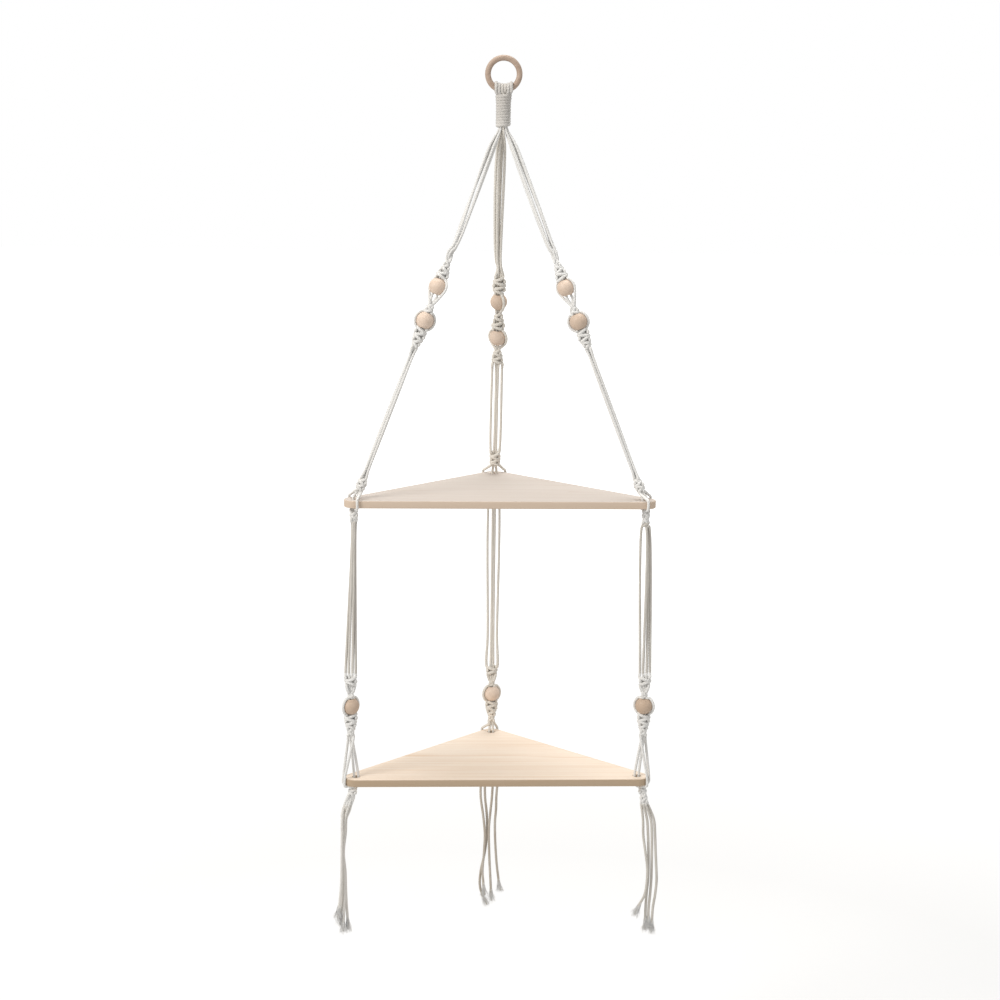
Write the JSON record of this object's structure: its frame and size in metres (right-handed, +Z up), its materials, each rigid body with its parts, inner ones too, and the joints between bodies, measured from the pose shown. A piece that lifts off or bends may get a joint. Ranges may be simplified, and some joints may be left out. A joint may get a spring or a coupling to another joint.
{
  "type": "hanging rope shelf",
  "caption": "Hanging corner shelf: triangular wooden boards on knotted, beaded cotton cord strands that gather in a wrapped neck under a wooden ring and end in tassels.",
  "frame": {"origin": "where a hook bears on the ring: the lowest point of the ring's upper inner wall, in the middle of its thickness", "axes": "+Z up, +X to the right as seen from the front, +Y towards the wall corner; the boards' long edges face -Y and the ring stands in the XZ plane"},
  "size_m": [0.3463, 0.1802, 0.9715],
  "materials": {
    "cotton_cord": "matt off-white twisted cotton",
    "board_wood": "plain pale wood, sanded",
    "ring_wood": "smooth pinkish-tan wood",
    "bead_wood": "smooth natural wood"
  },
  "bodies": {
    "ring": {"hanging_ring": "ring_wood"},
    "upper": {"neck_wrap": "cotton_cord", "upper_board": "board_wood", "left_working_cord": "cotton_cord", "left_core_cord": "cotton_cord", "left_bead_1": "bead_wood", "left_bead_2": "bead_wood", "right_working_cord": "cotton_cord", "right_core_cord": "cotton_cord", "right_bead_1": "bead_wood", "right_bead_2": "bead_wood", "back_working_cord": "cotton_cord", "back_core_cord": "cotton_cord", "back_bead_1": "bead_wood", "back_bead_2": "bead_wood"},
    "strand_left": {"left_strand_core_cord_l": "cotton_cord", "left_strand_core_cord_r": "cotton_cord", "left_strand_working_cord_f": "cotton_cord", "left_strand_working_cord_b": "cotton_cord"},
    "strand_right": {"right_strand_core_cord_l": "cotton_cord", "right_strand_core_cord_r": "cotton_cord", "right_strand_working_cord_f": "cotton_cord", "right_strand_working_cord_b": "cotton_cord"},
    "strand_back": {"back_strand_core_cord_l": "cotton_cord", "back_strand_core_cord_r": "cotton_cord", "back_strand_working_cord_f": "cotton_cord", "back_strand_working_cord_b": "cotton_cord"},
    "lower": {"lower_board": "board_wood", "left_lower_core_cord_l": "cotton_cord", "left_lower_core_cord_r": "cotton_cord", "left_lower_working_cord_f": "cotton_cord", "left_lower_working_cord_b": "cotton_cord", "left_lower_bead": "bead_wood", "right_lower_core_cord_l": "cotton_cord", "right_lower_core_cord_r": "cotton_cord", "right_lower_working_cord_f": "cotton_cord", "right_lower_working_cord_b": "cotton_cord", "right_lower_bead": "bead_wood", "back_lower_core_cord_l": "cotton_cord", "back_lower_core_cord_r": "cotton_cord", "back_lower_working_cord_f": "cotton_cord", "back_lower_working_cord_b": "cotton_cord", "back_lower_bead": "bead_wood"},
    "tassel_left": {"left_tassel_cord_1": "cotton_cord", "left_tassel_cord_2": "cotton_cord", "left_tassel_cord_3": "cotton_cord", "left_tassel_cord_4": "cotton_cord"},
    "tassel_right": {"right_tassel_cord_1": "cotton_cord", "right_tassel_cord_2": "cotton_cord", "right_tassel_cord_3": "cotton_cord", "right_tassel_cord_4": "cotton_cord"},
    "tassel_back": {"back_tassel_cord_1": "cotton_cord", "back_tassel_cord_2": "cotton_cord", "back_tassel_cord_3": "cotton_cord", "back_tassel_cord_4": "cotton_cord"}
  },
  "joints": [
    {"name": "shelf_swing", "type": "hinge", "parent": "ring", "child": "upper", "pos_m": [0, 0, -0.0275], "axis": [1, 0, 0], "range_deg": [-15, 15]},
    {"name": "left_strand_sway", "type": "hinge", "parent": "upper", "child": "strand_left", "pos_m": [-0.15235, -0.04929, -0.474], "axis": [1, 0, 0], "range_deg": [-12, 12]},
    {"name": "right_strand_sway", "type": "hinge", "parent": "upper", "child": "strand_right", "pos_m": [0.15235, -0.04929, -0.474], "axis": [1, 0, 0], "range_deg": [-12, 12]},
    {"name": "back_strand_sway", "type": "hinge", "parent": "upper", "child": "strand_back", "pos_m": [0, 0.10398, -0.474], "axis": [1, 0, 0], "range_deg": [-12, 12]},
    {"name": "lower_shelf_level", "type": "hinge", "parent": "strand_left", "child": "lower", "pos_m": [-0.15605, -0.04929, -0.634], "axis": [1, 0, 0], "range_deg": [-12, 12]},
    {"name": "left_tassel_swing", "type": "hinge", "parent": "lower", "child": "tassel_left", "pos_m": [-0.15937, -0.0522, -0.7795], "axis": [1, 0, 0], "range_deg": [-30, 30]},
    {"name": "right_tassel_swing", "type": "hinge", "parent": "lower", "child": "tassel_right", "pos_m": [0.15937, -0.0522, -0.7795], "axis": [1, 0, 0], "range_deg": [-30, 30]},
    {"name": "back_tassel_swing", "type": "hinge", "parent": "lower", "child": "tassel_back", "pos_m": [0, 0.11158, -0.7795], "axis": [1, 0, 0], "range_deg": [-30, 30]}
  ],
  "couplings": [
    {"joint": "right_strand_sway", "follows": "left_strand_sway", "ratio": 1},
    {"joint": "back_strand_sway", "follows": "left_strand_sway", "ratio": 1},
    {"joint": "lower_shelf_level", "follows": "left_strand_sway", "ratio": -1}
  ]
}
